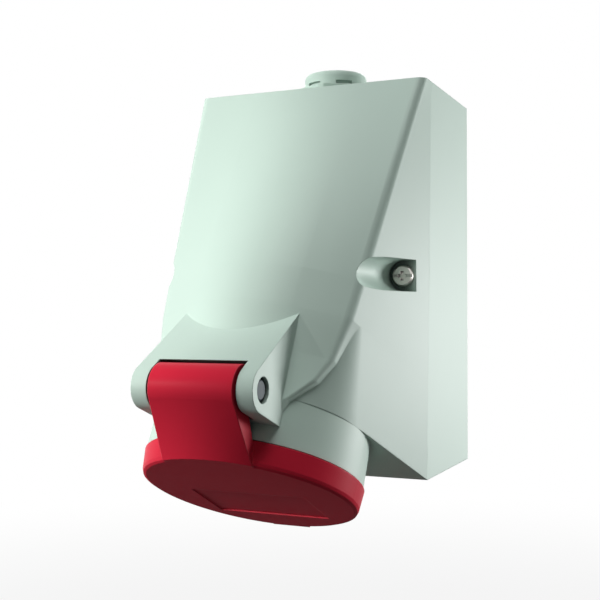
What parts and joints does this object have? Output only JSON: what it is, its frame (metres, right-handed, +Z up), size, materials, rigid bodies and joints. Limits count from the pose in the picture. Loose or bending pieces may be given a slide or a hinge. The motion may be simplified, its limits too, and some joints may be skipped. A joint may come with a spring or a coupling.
{
  "type": "industrial wall socket",
  "caption": "Sloping wall-mounted industrial socket: pale grey box, tilted round collar, sprung red lid, cable gland on top.",
  "frame": {"origin": "centre of the four wall fixings on the back face", "axes": "+X to the right seen from the front, -Y out from the wall, +Z up"},
  "size_m": [0.113, 0.1859, 0.2136],
  "materials": {
    "housing": "satin light grey-green",
    "lid_red": "satin red",
    "carrier": "satin mid grey",
    "rubber": "matt",
    "gland_grey": "satin",
    "steel": "bright zinc",
    "spring_steel": "drawn wire",
    "brass": "bright",
    "plated": "nickel plated"
  },
  "bodies": {
    "housing": {"rear_housing": "housing", "front_cover": "housing", "housing_seal": "rubber", "cover_screws": "steel", "screw_inserts": "brass", "plug_guide": "carrier", "clamp_ring": "carrier", "contact_carrier": "carrier", "terminal_block": "carrier", "contact_l1": "plated", "contact_l2": "plated", "contact_l3": "plated", "contact_n": "plated", "contact_pe": "plated", "terminal_screws": "steel", "carrier_screws": "steel", "hinge_pin": "steel", "gland_body": "gland_grey", "gland_nut": "gland_grey", "gland_seal": "rubber", "gland_gasket": "rubber", "gland_locknut": "gland_grey"},
    "lid": {"lid": "lid_red", "lid_seal": "rubber", "lid_spring": "spring_steel"}
  },
  "joints": [
    {"name": "lid_hinge", "type": "hinge", "parent": "housing", "child": "lid", "pos_m": [0, -0.1765, -0.0438], "axis": [-1, 0, 0], "range_deg": [0, 110], "stiffness_Nm_per_rad": 0.05, "springref_deg": -60.16, "deforming": ["lid_spring"]}
  ]
}
